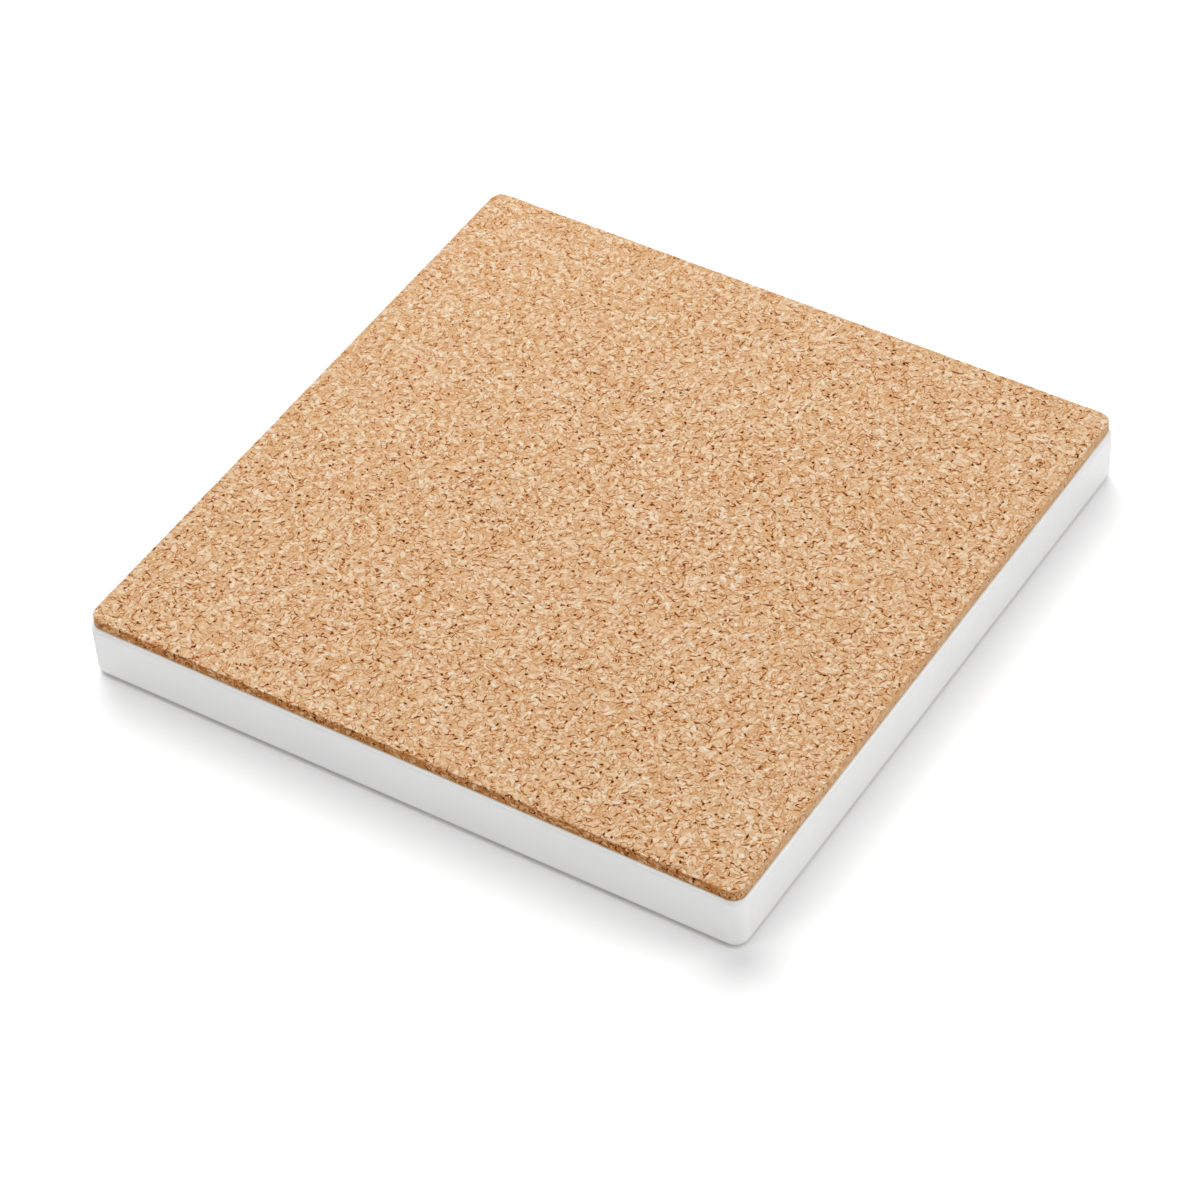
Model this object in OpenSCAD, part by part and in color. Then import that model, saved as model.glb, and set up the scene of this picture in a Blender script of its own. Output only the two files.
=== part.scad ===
// Square drink coaster: a pressed ceramic tile, glazed white on its face and edges,
// with a thin sheet of agglomerated cork stuck over its bare back.
// It lies face down, cork up. Z = 0 is the glazed face; millimetres.

/* [Tile] */
// Width and depth of the square tile, over the glaze
tile_side = 100; // [80:1:120]
// Thickness of the tile, from the glazed face to the bare back
tile_thickness = 8.6; // [6:0.1:14]
// Radius of the tile's four upright corners
corner_radius = 2.2; // [2:0.1:12]
// Radius of the edge around the glazed face
face_edge_radius = 1.5; // [0.6:0.1:1.9]
// Radius of the edge around the bare back
back_edge_radius = 0.8; // [0.6:0.1:1.9]
// Thickness of the fired glaze
glaze_thickness = 0.3; // [0.1:0.05:0.5]

/* [Backing] */
// Margin of tile that shows around the cork
cork_inset = 0.4; // [0.2:0.1:1.2]
// Thickness of the cork sheet
cork_thickness = 1.5; // [1:0.1:4]
// Radius that softens the cork's outer edge
cork_edge_radius = 0.3; // [0.1:0.05:0.4]
// Thickness of the glue that holds the cork
film_thickness = 0.15; // [0.05:0.05:0.5]

/* [Hidden] */
$fn = 96;

// Cork and glue are cut together, with corners on the tile's own corner centres
cork_side = tile_side - 2 * cork_inset;
cork_radius = corner_radius - cork_inset;
film_top = tile_thickness + film_thickness;

// Sweeps an upright section around a rounded square; the section's X runs outwards from the corner axes.
module around_square(side, radius) {
    straight = side - 2 * radius;
    for (turn = [0:90:270]) {
        rotate(turn) {
            translate([straight / 2, straight / 2, 0]) {
                rotate_extrude(angle = 90) children();
            }
            translate([straight / 2, straight / 2, 0]) {
                rotate([90, 0, 0]) linear_extrude(height = straight) children();
            }
        }
    }
}

// Fills the middle of a rounded square between two heights.
module square_middle(side, radius, low, high) {
    straight = side - 2 * radius;
    translate([-straight / 2, -straight / 2, low]) cube([straight, straight, high - low]);
}

// Section through the tile's edge, under a coat of the given thickness; no coat lies on the back.
module tile_section(coat) {
    face_centre = [corner_radius - face_edge_radius, face_edge_radius];
    back_centre = [corner_radius - back_edge_radius, tile_thickness - back_edge_radius];
    intersection() {
        square([corner_radius, tile_thickness]);
        union() {
            translate([0, coat]) square([face_centre[0], face_centre[1] - coat]);
            translate(face_centre) circle(face_edge_radius - coat);
            translate([0, face_centre[1]]) square([corner_radius - coat, back_centre[1] - face_centre[1]]);
            translate(back_centre) circle(back_edge_radius - coat);
            translate([0, back_centre[1]]) square([back_centre[0], back_edge_radius]);
        }
    }
}

// Upright section through the edge of the glue, cut square.
module film_section() {
    translate([0, tile_thickness]) square([cork_radius, film_thickness]);
}

// Upright section through the cork's cut edge, softened along its outer corner.
module cork_section() {
    soft_start = [cork_radius - cork_edge_radius, cork_thickness - cork_edge_radius];
    translate([0, film_top]) {
        square([cork_radius, soft_start[1]]);
        square([soft_start[0], cork_thickness]);
        translate(soft_start) circle(cork_edge_radius);
    }
}

// Fired clay body of the tile, bare only on its back.
module tile_core() {
    color("antiquewhite") {
        square_middle(tile_side, corner_radius, glaze_thickness, tile_thickness);
        around_square(tile_side, corner_radius) tile_section(glaze_thickness);
    }
}

// White gloss glaze over the face and the walls, run round the back edge and stopped there.
module glaze_coat() {
    color("white") {
        square_middle(tile_side, corner_radius, 0, glaze_thickness);
        around_square(tile_side, corner_radius) {
            difference() {
                tile_section(0);
                tile_section(glaze_thickness);
            }
        }
    }
}

// Film of glue between the tile's back and the cork.
module adhesive_film() {
    color("wheat") {
        square_middle(cork_side, cork_radius, tile_thickness, film_top);
        around_square(cork_side, cork_radius) film_section();
    }
}

// Sheet of pressed cork granules, the side that the coaster stands on in use.
module cork_pad() {
    color("burlywood") {
        square_middle(cork_side, cork_radius, film_top, film_top + cork_thickness);
        around_square(cork_side, cork_radius) cork_section();
    }
}

tile_core();
glaze_coat();
adhesive_film();
cork_pad();
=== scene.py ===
# A square drink coaster, lying face down: a white glazed tile with a sheet of cork stuck on its back.
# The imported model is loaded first; sizes below are in millimetres unless a line says otherwise.
import math

import bmesh
import bpy
import numpy as np
from mathutils import Matrix, Vector, noise
from mathutils.geometry import delaunay_2d_cdt


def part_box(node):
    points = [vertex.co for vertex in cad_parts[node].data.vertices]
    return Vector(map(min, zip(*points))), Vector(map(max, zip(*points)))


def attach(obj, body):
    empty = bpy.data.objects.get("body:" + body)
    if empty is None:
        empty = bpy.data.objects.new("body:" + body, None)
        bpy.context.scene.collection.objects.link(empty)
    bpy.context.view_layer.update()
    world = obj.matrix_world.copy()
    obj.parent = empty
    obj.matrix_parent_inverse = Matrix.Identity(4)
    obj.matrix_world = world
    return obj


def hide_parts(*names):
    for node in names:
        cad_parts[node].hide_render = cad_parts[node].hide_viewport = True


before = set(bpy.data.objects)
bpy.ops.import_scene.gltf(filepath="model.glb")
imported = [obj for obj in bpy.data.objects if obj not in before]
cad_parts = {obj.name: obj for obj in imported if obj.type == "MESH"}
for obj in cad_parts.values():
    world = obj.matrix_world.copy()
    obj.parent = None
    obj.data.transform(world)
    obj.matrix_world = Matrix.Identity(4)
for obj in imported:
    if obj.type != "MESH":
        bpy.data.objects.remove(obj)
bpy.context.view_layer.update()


# Tile body.
# Clay pressed into a square die and fired hard. It is pale, matt and slightly speckled, and it is bare
# only on its back, where the glue takes hold; the glaze covers the rest.
class Shade:
    """A socket of a material's nodes. Sums, differences and products of shades add Math nodes."""

    def __init__(self, tree, socket=None):
        self.tree = tree
        self.socket = socket

    def add(self, kind, settings, sockets, output=0):
        """Adds a node of any type: its settings first, then the values or links of its sockets."""
        node = self.tree.nodes.new(kind)
        for name, value in settings.items():
            if name == "stops":
                elements = node.color_ramp.elements
                while len(elements) < len(value):
                    elements.new(1.0)
                for element, (position, colour) in zip(elements, value):
                    element.position = position
                    element.color = colour
            else:
                setattr(node, name, value)
        for name, value in sockets.items():
            if isinstance(value, Shade):
                self.tree.links.new(value.socket, node.inputs[name])
            else:
                node.inputs[name].default_value = value
        return Shade(self.tree, node.outputs[output])

    def math(self, operation, first, second):
        """Adds one Math node."""
        return self.add("ShaderNodeMath", {"operation": operation}, {0: first, 1: second})

    def __add__(self, other):
        return self.math("ADD", self, other)

    def __radd__(self, other):
        return self.math("ADD", other, self)

    def __sub__(self, other):
        return self.math("SUBTRACT", self, other)

    def __rsub__(self, other):
        return self.math("SUBTRACT", other, self)

    def __mul__(self, other):
        return self.math("MULTIPLY", self, other)

    def __rmul__(self, other):
        return self.math("MULTIPLY", other, self)

    def step(self, low, high):
        """0 below low and 1 above high, or the other way round, with a smooth rise between."""
        ends = {"Value": self, "From Min": low, "From Max": high}
        return self.add("ShaderNodeMapRange", {"interpolation_type": "SMOOTHSTEP"}, ends)

    def blend(self, first, second):
        """A colour that goes from first to second as this shade goes from 0 to 1."""
        return self.add("ShaderNodeMix", {"data_type": "RGBA"}, {0: self, 6: first, 7: second}, 2)

    def noise(self, scale, detail=2.0, roughness=0.5):
        """Soft noise over this vector, with so many lumps to the millimetre."""
        sockets = {"Vector": self, "Scale": scale, "Detail": detail, "Roughness": roughness}
        return self.add("ShaderNodeTexNoise", {}, sockets)

    def also(self, output):
        """Another output of the same node."""
        return Shade(self.tree, self.socket.node.outputs[output])

    def feed(self, node, name):
        """Links this shade to a socket of a node."""
        self.tree.links.new(self.socket, node.inputs[name])


def new_finish(name):
    """A new material, its main shader, and the place on the object in millimetres to draw patterns by."""
    material = bpy.data.materials.new(name)
    material.use_nodes = True
    shader = material.node_tree.nodes["Principled BSDF"]
    metres = Shade(material.node_tree).add("ShaderNodeTexCoord", {}, {}, "Object")
    place = metres.add("ShaderNodeVectorMath", {"operation": "SCALE"}, {0: metres, "Scale": 1000.0})
    return material, shader, place


def paint(red, green, blue):
    """A colour given as it shows on a screen, 0 to 255, for a shader's socket."""
    screen = np.array([red, green, blue]) / 255
    linear = np.where(screen <= 0.04045, screen / 12.92, ((screen + 0.055) / 1.055) ** 2.4)
    return (*linear.tolist(), 1.0)


clay, clay_shader, clay_place = new_finish("fired_clay")
clay_tone = clay_place.noise(0.35, 4.0)
clay_speck = clay_place.noise(3.0, 2.0).step(0.66, 0.72)
clay_colour = clay_tone.step(0.3, 0.7).blend(paint(226, 217, 203), paint(236, 229, 217))
clay_speck.blend(clay_colour, paint(196, 176, 150)).feed(clay_shader, "Base Color")
(0.78 + 0.15 * clay_tone).feed(clay_shader, "Roughness")
clay_bump = {"Strength": 0.35, "Distance": 0.00005, "Height": clay_place.noise(4.0, 4.0, 0.6)}
clay_place.add("ShaderNodeBump", {}, clay_bump).feed(clay_shader, "Normal")
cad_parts["tile_core"].material_slots[0].material = clay


# Glaze.
# A white glass coat, sprayed on the face and the four walls and fired. It runs round the back edge and
# stops under the cork, slightly rippled where it flowed.
glaze, glaze_shader, glaze_place = new_finish("white_glaze")
flow = glaze_place.noise(0.12, 2.0)
glaze_cloud = glaze_place.noise(0.06, 3.0)
glaze_white = glaze_cloud.step(0.3, 0.7).blend(paint(244, 244, 244), paint(247, 247, 246))
glaze_white.feed(glaze_shader, "Base Color")
(0.10 + 0.12 * glaze_place.noise(0.25, 3.0)).feed(glaze_shader, "Roughness")
glaze_ripple = 0.7 * flow + 0.3 * glaze_place.noise(0.8, 2.0)
glaze_bump = {"Strength": 0.25, "Distance": 0.0004, "Height": glaze_ripple}
glaze_place.add("ShaderNodeBump", {}, glaze_bump).feed(glaze_shader, "Normal")
glaze_shader.inputs["IOR"].default_value = 1.5
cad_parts["glaze_coat"].material_slots[0].material = glaze


# Glue.
# A thin film of clear contact glue that has dried to a pale straw colour, rolled over the bare back of
# the tile before the cork is laid on it. Only its cut edge can be seen.
glue, glue_shader, glue_place = new_finish("dried_glue")
glue_tone = glue_place.noise(0.7, 3.0)
glue_straw = glue_tone.step(0.3, 0.7).blend(paint(184, 157, 118), paint(206, 184, 148))
glue_straw.feed(glue_shader, "Base Color")
(0.35 + 0.3 * glue_tone).feed(glue_shader, "Roughness")
glue_bump = {"Strength": 0.4, "Distance": 0.00008, "Height": glue_place.noise(1.6, 3.0)}
glue_place.add("ShaderNodeBump", {}, glue_bump).feed(glue_shader, "Normal")
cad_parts["adhesive_film"].material_slots[0].material = glue


# Cork pad.
# Ground cork bark pressed with binder into a block, sliced into a sheet, sanded, and cut to size with the
# tile. Each granule is a flat flake with its own tone and tilt; some joints between them stay open.
pad_low, pad_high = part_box("cork_pad")
pad_half = pad_high.x * 1000
pad_foot = pad_low.z * 1000
pad_top = pad_high.z * 1000
pad_corner = 1.8
pad_soft_edge = 0.12
granule_width = 1.0
granule_jitter = 0.46
mirrored_rows = 2.5
paired_share = 0.5
joint_half_width = 0.11
joint_merge = 0.06
groove_depth = 0.015
groove_extra = 0.04
upper_depth = 0.4
torn_reach = 1.2
rim_width = 0.05
chance = np.random.default_rng(11)

# One granule starts from each square of a grid. The outer ones are mirrored over the sides of the pad, so
# that the joints nearest to each side run exactly along it.
across = round(2 * pad_half / granule_width)
pitch = 2 * pad_half / across
middles = (np.arange(across) + 0.5) * pitch - pad_half
seeds = np.stack(np.meshgrid(middles, middles), axis=-1).reshape(-1, 2)
seeds += chance.uniform(-granule_jitter, granule_jitter, seeds.shape) * pitch
around = seeds
for axis in (0, 1):
    for side in (-1, 1):
        strip = around[side * around[:, axis] > pad_half - mirrored_rows * pitch].copy()
        strip[:, axis] = 2 * side * pad_half - strip[:, axis]
        around = np.concatenate([around, strip])
linked = np.array(delaunay_2d_cdt([Vector(point) for point in around], [], [], 0, 1e-7)[2])
first, second, third = (around[linked[:, corner]] for corner in range(3))
one = second - first
two = third - first
twist = 2 * (one[:, 0] * two[:, 1] - one[:, 1] * two[:, 0])
one_square = (one**2).sum(axis=1)
two_square = (two**2).sum(axis=1)
junctions = np.stack(
    [
        first[:, 0] + (two[:, 1] * one_square - one[:, 1] * two_square) / twist,
        first[:, 1] + (one[:, 0] * two_square - two[:, 0] * one_square) / twist,
    ],
    axis=-1,
)
owners = linked.ravel()
corners = np.repeat(np.arange(len(linked)), 3)
spokes = junctions[corners] - around[owners]
turn_order = np.lexsort((np.arctan2(spokes[:, 1], spokes[:, 0]), owners))
starts = np.searchsorted(owners[turn_order], np.arange(len(seeds) + 1))
outlines = [corners[turn_order[starts[i] : starts[i + 1]]].tolist() for i in range(len(seeds))]

sheet = bmesh.new()
joints = {}
for outline in outlines:
    for corner in outline:
        if corner not in joints:
            joints[corner] = sheet.verts.new((*junctions[corner], 0.0))
    sheet.faces.new([joints[corner] for corner in outline])
bmesh.ops.remove_doubles(sheet, verts=sheet.verts[:], dist=joint_merge)

# Half of the granules are joined in pairs, which gives longer and more crooked flakes. Each keeps a heart,
# a point from which its whole outline can be seen.
granule_heart = sheet.faces.layers.float_vector.new("heart")
for face in sheet.faces:
    face[granule_heart] = face.calc_center_median()
sheet.faces.index_update()
sheet.edges.ensure_lookup_table()
joined = []
paired = set()
for index in chance.permutation(len(sheet.edges)):
    edge = sheet.edges[index]
    pair = {face.index for face in edge.link_faces}
    if len(pair) == 2 and not pair & paired and len(paired) < paired_share * len(sheet.faces):
        joined.append(edge)
        paired |= pair
        for face in edge.link_faces:
            face[granule_heart] = (edge.verts[0].co + edge.verts[1].co) / 2
bmesh.ops.dissolve_edges(sheet, edges=joined, use_verts=False)
sheet.faces.ensure_lookup_table()

# The joints are shallow grooves. Inside them each granule is drawn in towards its heart, and lies a little
# sunk and tilted.
granules = sheet.faces[:]
for vert in sheet.verts:
    vert.co.z = -groove_depth - groove_extra * chance.random() ** 4
bmesh.ops.inset_individual(sheet, faces=granules, thickness=0.0)
for face in granules:
    heart = face[granule_heart]
    reach = sum((vert.co - heart).length for vert in face.verts) / len(face.verts)
    drawn_in = 1 - joint_half_width / reach
    sunk, lean_x, lean_y = chance.uniform((0.002, -0.02, -0.02), (0.02, 0.02, 0.02))
    for vert in face.verts:
        vert.co.x = heart.x + (vert.co.x - heart.x) * drawn_in
        vert.co.y = heart.y + (vert.co.y - heart.y) * drawn_in
        lean = lean_x * (vert.co.x - heart.x) + lean_y * (vert.co.y - heart.y)
        vert.co.z = min(-sunk + lean, 0.0)

# The cut sides hang from the rim in rows of faces, and one face closes the sheet underneath.
rim = [edge for edge in sheet.edges if edge.is_boundary]
row_depths = (0.45, 0.8, 1.15, pad_top - pad_foot)
for depth in row_depths:
    grown = bmesh.ops.extrude_edge_only(sheet, edges=rim)["geom"]
    for vert in grown:
        if isinstance(vert, bmesh.types.BMVert):
            vert.co.z = -depth
    rim = [edge for edge in grown if isinstance(edge, bmesh.types.BMEdge) and edge.is_boundary]
bmesh.ops.holes_fill(sheet, edges=rim)
bmesh.ops.recalc_face_normals(sheet, faces=sheet.faces[:])

# The bake map gives most of its room to the upper side. The cut sides are strips above that, and the side
# on the glue, which never shows, is a small square beside it.
map_share = 0.92
map_middle = 0.463
under_share = 0.06
under_middle = (0.963, 0.033)
strip_tops = {(0, -1): 0.943, (1, 0): 0.960, (0, 1): 0.977, (-1, 0): 0.994}
sheet.normal_update()
bake_map = sheet.loops.layers.uv.new("OFBake")
for face in sheet.faces:
    facing = face.normal
    side = max(strip_tops, key=lambda way: way[0] * facing.x + way[1] * facing.y)
    for loop in face.loops:
        x, y, z = loop.vert.co / (2 * pad_half)
        along = side[0] * y - side[1] * x
        place = (map_middle + map_share * along, strip_tops[side] + map_share * z)
        if facing.z > 0.5:
            place = (map_middle + map_share * x, map_middle + map_share * y)
        if facing.z < -0.5:
            place = (under_middle[0] - under_share * x, under_middle[1] + under_share * y)
        loop[bake_map].uv = place

pad_mesh = bpy.data.meshes.new("cork_sheet")
sheet.to_mesh(pad_mesh)
sheet.free()

# The square sheet is bent to its rounded corners, softened along its upper edge and roughened where the
# blade tore granules out of the cut, most of all on the side towards -Y.
spots = np.empty(len(pad_mesh.vertices) * 3)
pad_mesh.vertices.foreach_get("co", spots)
spots = spots.reshape(-1, 3)
flat = spots[:, :2]
past_corner = np.abs(flat) - (pad_half - pad_corner)
in_corner = (past_corner > 0).all(axis=1)
reach = past_corner.max(axis=1)
length = np.linalg.norm(past_corner, axis=1)
outward = np.where(past_corner == reach[:, None], 1.0, 0.0)
outward[in_corner] = (past_corner / np.maximum(length, 1e-9)[:, None])[in_corner]
outward *= np.sign(flat)
bent = np.sign(flat) * (pad_half - pad_corner) + outward * reach[:, None]
flat[in_corner] = bent[in_corner]
inside = pad_corner - reach
on_top = spots[:, 2] > -upper_depth
shoulder = np.clip(pad_soft_edge - inside, 0.0, pad_soft_edge)
drop = pad_soft_edge - np.sqrt(pad_soft_edge**2 - shoulder**2)
near_edge = inside < torn_reach
torn = np.zeros(len(spots))
for index in np.flatnonzero(near_edge):
    along = Vector((*flat[index], 0.0))
    broad_tear = max(noise.noise(along * 0.9), 0.0) * 0.12
    fine_tear = max(noise.noise(along * 2.3), 0.0) * 0.09
    rough_side = max(-outward[index, 1], 0.0)
    chip = (broad_tear + fine_tear) * (0.3 + 0.7 * rough_side)
    torn[index] = chip * (1 - inside[index] / torn_reach)
    if not on_top[index]:
        torn[index] = chip + 0.03 * (1 + noise.noise(Vector(spots[index]) * 1.7))
flat -= outward * torn[:, None]
spots[:, 2] -= np.where(on_top, drop, 0.0)
spots[:, 2] += pad_top
pad_mesh.vertices.foreach_set("co", (spots * 0.001).ravel())

# Three attributes go to the material: what is cut, what is roughly cut and darkened with painted shade,
# and how far each point of a cut side moves when that side is folded out level.
cut = np.where(on_top & (inside > rim_width), 0.0, 1.0)
for name, amount in (("cut", cut), ("rough_cut", cut * np.maximum(-outward[:, 1], 0.0) ** 2)):
    pad_mesh.attributes.new(name, "FLOAT", "POINT").data.foreach_set("value", amount)
fold = np.zeros((len(spots), 3))
fold[:, :2] = outward * (cut * (pad_top - spots[:, 2]))[:, None]
pad_mesh.attributes.new("fold", "FLOAT_VECTOR", "POINT").data.foreach_set("vector", fold.ravel())
pad_mesh.update()

cork, cork_shader, cork_place = new_finish("pressed_cork")
sides = cork_place.add("ShaderNodeAttribute", {"attribute_name": "cut"}, {}, "Fac")
rough_and_shaded_sides = cork_place.add("ShaderNodeAttribute", {"attribute_name": "rough_cut"}, {}, "Fac")

# Patterns are drawn flat, as if the cut sides were folded out level with the upper side.
folded_out = cork_place.add("ShaderNodeAttribute", {"attribute_name": "fold"}, {}, "Vector")
drawn = cork_place.add("ShaderNodeVectorMath", {"operation": "ADD"}, {0: cork_place, 1: folded_out})


def moved_by(vector, scale, reach):
    """The vector, pushed about by noise with so many lumps to the millimetre."""
    sockets = {"Vector": vector, "Scale": scale, "Detail": 1.0}
    push = vector.add("ShaderNodeTexNoise", {}, sockets, 1)
    push = push.add("ShaderNodeVectorMath", {"operation": "SUBTRACT"}, {0: push, 1: (0.5, 0.5, 0.5)})
    multiply = {"operation": "MULTIPLY_ADD"}
    return push.add("ShaderNodeVectorMath", multiply, {0: push, 1: (reach, reach, 0.0), 2: vector})


whole_turn = 6.283


def strokes(vector, scale, half_length, half_width, bend, lean=0.0, spread=whole_turn):
    """Bent lens shapes, one to a cell, each turned by chance within a spread of angles about its lean.

    Gives how far out a place lies, with 1 on the outline, and three numbers of chance for each shape.
    """
    # Each scale takes its cells from another place, so that no two layers line up.
    away = {0: vector, 1: (137.0 * scale, -91.0 * scale, 0.0)}
    vector = vector.add("ShaderNodeVectorMath", {"operation": "ADD"}, away)
    cells = {"Vector": vector, "Scale": scale}
    cell = vector.add("ShaderNodeTexVoronoi", {"voronoi_dimensions": "2D"}, cells)
    lot = cell.add("ShaderNodeSeparateColor", {}, {0: cell.also("Color")})
    local = {0: vector, 1: cell.also("Position")}
    local = cell.add("ShaderNodeVectorMath", {"operation": "SUBTRACT"}, local)
    spin = {"Vector": local, "Angle": spread * lot - (lean + spread / 2)}
    turned = local.add("ShaderNodeVectorRotate", {"rotation_type": "Z_AXIS"}, spin)
    along = turned.add("ShaderNodeSeparateXYZ", {}, {0: turned})
    aside = along.also(1) + bend * (lot.also(1) - 0.5) * along * along
    far = along * along * (1 / half_length**2) + aside * aside * (1 / half_width**2)
    return far, lot


mark_lean = 0.6


def scattered(lumps, reach, per_mm, half_length, half_width, bend, spread, edge, share):
    """How strongly bent marks strewn over the pad show. Both the edge and the share of strong ones fade."""
    pushed = moved_by(drawn, lumps, reach)
    far, lot = strokes(pushed, per_mm, half_length, half_width, bend, mark_lean, spread)
    return far.step(*edge) * lot.also(2).step(*share)


# Four layers of flakes cover one another, from large to small. Each flake has its own tone, painted shade
# that darkens it a little towards its edge as if it were domed, and a thin dark outline that breaks off in
# places;
# pale flecks lie between them. A layer is given as flakes to the millimetre, half their length, half their
# width, and the share that is left out.
base_tone = 0.67
outline_tone = 0.42
cloud = drawn.noise(0.7, 2.0) - 0.5
fine = drawn.noise(3.4, 2.0, 0.6) - 0.5
gaps = drawn.noise(1.3, 1.0)
value = base_tone + 0.1 * cloud + 0.5 * fine
layers = ((0.55, 1.2, 0.5, 0.1), (0.7, 1.0, 0.4, 0.2), (0.9, 0.8, 0.28, 0.35), (1.15, 0.6, 0.2, 0.5))
for per_mm, half_length, half_width, missing in layers:
    far, lot = strokes(moved_by(drawn, 1.1, 0.5), per_mm, half_length, half_width, 1.2)
    there = lot.also(2).step(missing - 0.05, missing + 0.05)
    cover = far.step(1.15, 0.85) * there
    ring = far.step(2.1, 1.25) * far.step(0.8, 1.15) * there * gaps.step(0.3, 0.6)
    # The last term is painted shade: each flake grows a little darker towards its edge.
    tone = 0.70 + 0.18 * lot.also(1) + 0.32 * fine + 0.06 * cloud - 0.07 * far
    value = value + cover * (tone - value)
    value = value + 0.5 * ring * (outline_tone - value)
flecks = scattered(1.4, 0.4, 0.75, 0.45, 0.18, bend=2.0, spread=2.8, edge=(1.5, 0.4), share=(0.5, 0.95))
value = value + 0.24 * flecks
height = value

# Dark threads of bark, finer hairs and small open pores lie on top. They are fainter towards the far corner,
# as they look in the photograph.
spot_x = cork_place.add("ShaderNodeSeparateXYZ", {}, {0: cork_place})
marks = 1.0 - 0.4 * (spot_x.also(1) - spot_x).step(10.0, 80.0)
threads = scattered(1.6, 0.5, 0.8, 0.58, 0.12, bend=2.0, spread=2.6, edge=(1.4, 0.1), share=(0.2, 0.9))
hairs = scattered(2.0, 0.4, 1.15, 0.44, 0.09, bend=3.0, spread=2.6, edge=(1.4, 0.1), share=(0.2, 0.9))
pores = scattered(2.4, 0.35, 0.83, 0.23, 0.13, bend=4.0, spread=3.0, edge=(2.2, 0.0), share=(0.45, 1.0))
value = value - 0.42 * marks * threads
value = value - 0.36 * marks * hairs
value = value - 0.66 * marks * pores

# The rough cut side, towards -Y, is darker than the rest, partly for its rough cut and partly as painted
# shade of its torn granules. The smooth ones are evened out towards one tone.
smooth_tone = 0.655
value = value - 0.2 * rough_and_shaded_sides
value = value + 0.6 * (sides - rough_and_shaded_sides) * (smooth_tone - value)
tones = [
    (0.0, paint(66, 28, 8)),
    (0.25, paint(134, 66, 16)),
    (0.5, paint(189, 125, 68)),
    (0.667, paint(217, 172, 127)),
    (0.833, paint(232, 206, 174)),
    (1.0, paint(240, 227, 208)),
]
colour = value.add("ShaderNodeValToRGB", {"stops": tones}, {0: value})
colour.feed(cork_shader, "Base Color")
(0.85 + 0.3 * fine).feed(cork_shader, "Roughness")
cork_bump = {"Strength": 0.7, "Distance": 0.0003, "Height": height}
cork_place.add("ShaderNodeBump", {}, cork_bump).feed(cork_shader, "Normal")
cork_shader.inputs["Specular IOR Level"].default_value = 0.08

pad = bpy.data.objects.new("cork_sheet", pad_mesh)
bpy.context.scene.collection.objects.link(pad)
pad_mesh.materials.append(cork)
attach(pad, "root")
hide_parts("cork_pad")


# Table top.
# The coaster lies on a wide white sheet that runs out of sight, so only its soft shadow shows where the
# sheet begins. The thin shade right under its edge is part of the sheet's colour, darker along one side.
floor_reach = 1.5
contact_reach = 0.0009
floor_mesh = bpy.data.meshes.new("white_sheet")
floor_corners = [(-1, -1), (1, -1), (1, 1), (-1, 1)]
floor_points = [(floor_reach * x, floor_reach * y, 0.0) for x, y in floor_corners]
floor_mesh.from_pydata(floor_points, [], [(0, 1, 2, 3)])
floor = bpy.data.objects.new("white_sheet", floor_mesh)
bpy.context.scene.collection.objects.link(floor)
white_sheet, sheet_shader, sheet_place = new_finish("white_sheet")
seen_straight = sheet_place.add("ShaderNodeLightPath", {}, {}, "Is Camera Ray")
open_air = sheet_place.add("ShaderNodeAmbientOcclusion", {"samples": 8}, {"Distance": contact_reach}, "AO")
sheet_y = sheet_place.add("ShaderNodeSeparateXYZ", {}, {0: sheet_place}).also(1)
dark_side = sheet_y.step(-48.0, -49.5)
contact = dark_side.blend((0.62, 0.56, 0.53, 1.0), (0.33, 0.29, 0.27, 1.0))
seen_white = open_air.step(0.0, 0.9).blend(contact, (1.15, 1.15, 1.15, 1.0))
seen_straight.blend((0.93, 0.93, 0.93, 1.0), seen_white).feed(sheet_shader, "Base Color")
sheet_shader.inputs["Roughness"].default_value = 1.0
sheet_shader.inputs["Specular IOR Level"].default_value = 0.0
floor_mesh.materials.append(white_sheet)


# Light.
# A broad lamp and a nearer one behind the coaster give just over half of the light, so its soft shadow falls
# towards the camera. White cards on the right, in front and on the left brighten the walls, in a dim white
# room.
room_level = 0.115
room = bpy.data.worlds.new("white_room")
room.use_nodes = True
room_shade = Shade(room.node_tree)
rays = ("Is Camera Ray", "Is Glossy Ray", "Is Transmission Ray")
seen = [room_shade.add("ShaderNodeLightPath", {}, {}, ray) for ray in rays]
shows_white = seen[0].math("MAXIMUM", seen[0].math("MAXIMUM", seen[0], seen[1]), seen[2])
backdrop = room.node_tree.nodes["Background"]
backdrop.inputs["Color"].default_value = (1.0, 1.0, 1.0, 1.0)
(room_level + (1 - room_level) * shows_white).feed(backdrop, "Strength")
bpy.context.scene.world = room


def broad_lamp(name, level, towards, spread):
    """A far lamp of some angle across, that alone would give a level surface such a level of light."""
    lamp = bpy.data.lights.new(name, "SUN")
    lamp.angle = math.radians(spread)
    lamp.energy = level * math.pi / towards.normalized().z
    holder = bpy.data.objects.new(name, lamp)
    holder.rotation_euler = towards.to_track_quat("Z", "Y").to_euler()
    bpy.context.scene.collection.objects.link(holder)


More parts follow.
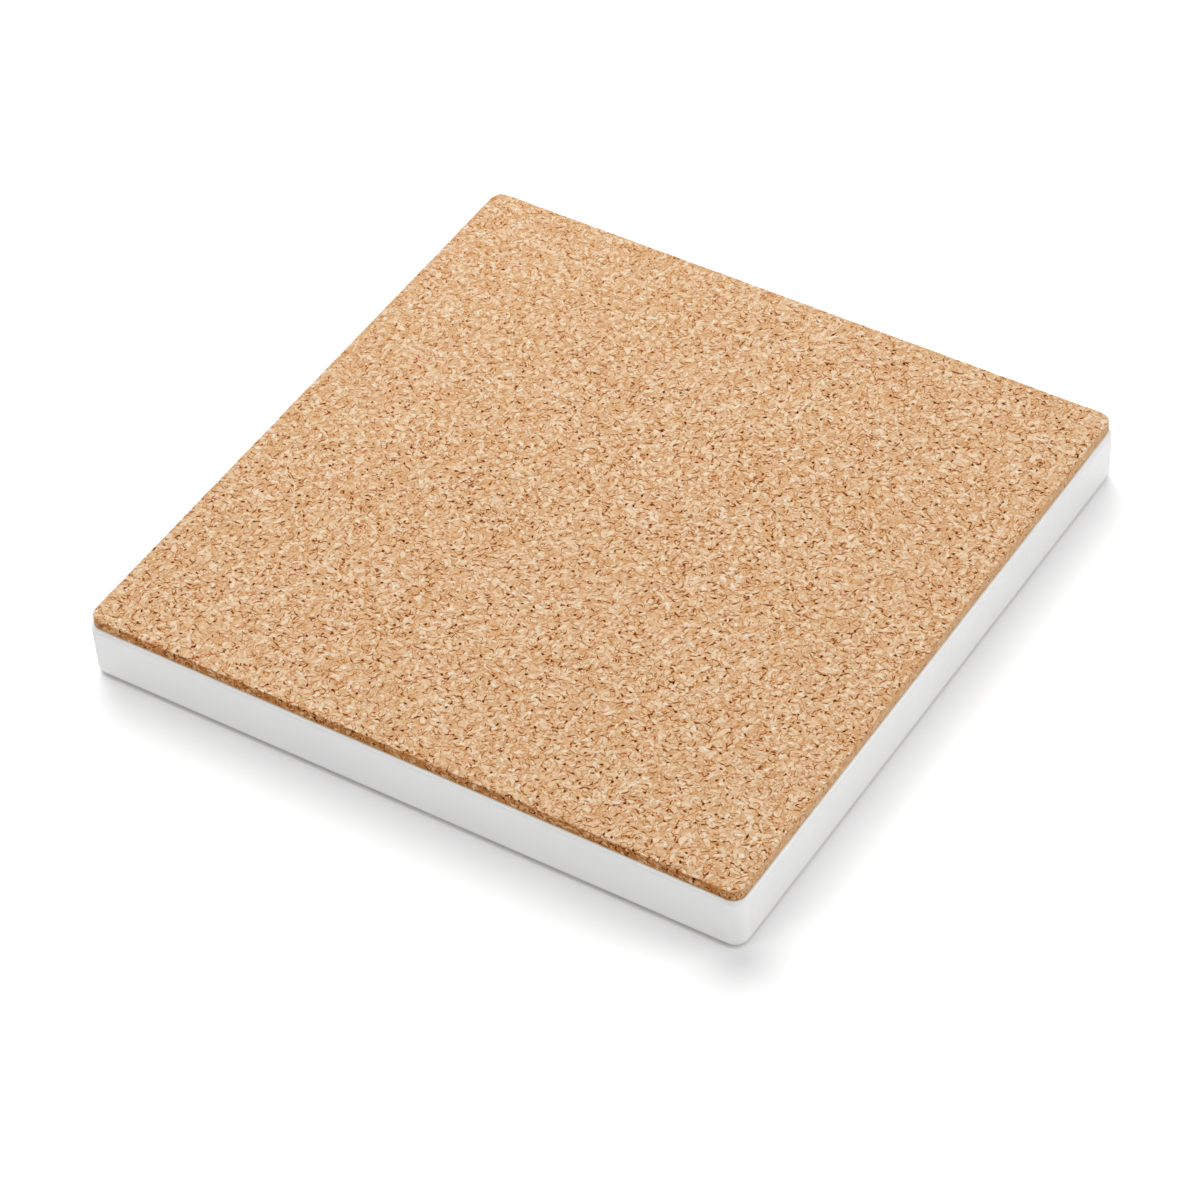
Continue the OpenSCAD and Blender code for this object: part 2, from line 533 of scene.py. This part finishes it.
behind = Vector((-0.424, 0.454, 0.784))
broad_lamp("back_lamp", 0.37, behind, spread=47)
broad_lamp("right_card", 0.08, Vector((0.78, 0.45, 0.30)), spread=30)
broad_lamp("front_card", 0.20, Vector((0.52, -0.53, 0.67)), spread=16)
broad_lamp("left_card", 0.085, Vector((-0.40, -0.70, 0.59)), spread=20)

# The near lamp gives a fifth of the light at the middle of the coaster, and more at its far corner.
near_level = 0.2
near_reach = 0.4
near_radius = 0.175
near_lamp = bpy.data.lights.new("near_lamp", "AREA")
near_lamp.shape = "DISK"
near_lamp.size = 2 * near_radius
near_part = near_radius**2 / (near_radius**2 + near_reach**2)
near_lamp.energy = near_level * math.pi / behind.normalized().z * math.pi * near_radius**2 / near_part
near_holder = bpy.data.objects.new("near_lamp", near_lamp)
near_holder.location = behind.normalized() * near_reach
near_holder.rotation_euler = behind.to_track_quat("Z", "Y").to_euler()
near_holder.visible_camera = False
bpy.context.scene.collection.objects.link(near_holder)
bpy.context.scene.view_settings.view_transform = "Standard"


# Camera.
# A long lens looks down on the near corner from half way up, turned slightly, with the coaster a little
# above the middle of the picture.
look_turn = math.radians(34.608)
look_height = math.radians(44.616)
look_roll = math.radians(-3.802)
look_distance = 603.63
aim_right = -1.072
aim_up = -11.306
back = Vector(
    (
        math.sin(look_turn) * math.cos(look_height),
        -math.cos(look_turn) * math.cos(look_height),
        math.sin(look_height),
    )
)
level_right = Vector((math.cos(look_turn), math.sin(look_turn), 0.0))
level_up = back.cross(level_right)
right = level_right * math.cos(look_roll) + level_up * math.sin(look_roll)
up = level_up * math.cos(look_roll) - level_right * math.sin(look_roll)
stand = Vector((0.0, 0.0, pad_top)) + right * aim_right + up * aim_up + back * look_distance
lens = bpy.data.cameras.new("long_lens")
lens.sensor_width = 36.0
lens.lens = 136.23
lens.clip_start = 0.01
lens.clip_end = 10.0
camera = bpy.data.objects.new("long_lens", lens)
turn = Matrix((right, up, back)).transposed().to_4x4()
camera.matrix_world = Matrix.Translation(stand * 0.001) @ turn
bpy.context.scene.collection.objects.link(camera)
bpy.context.scene.camera = camera
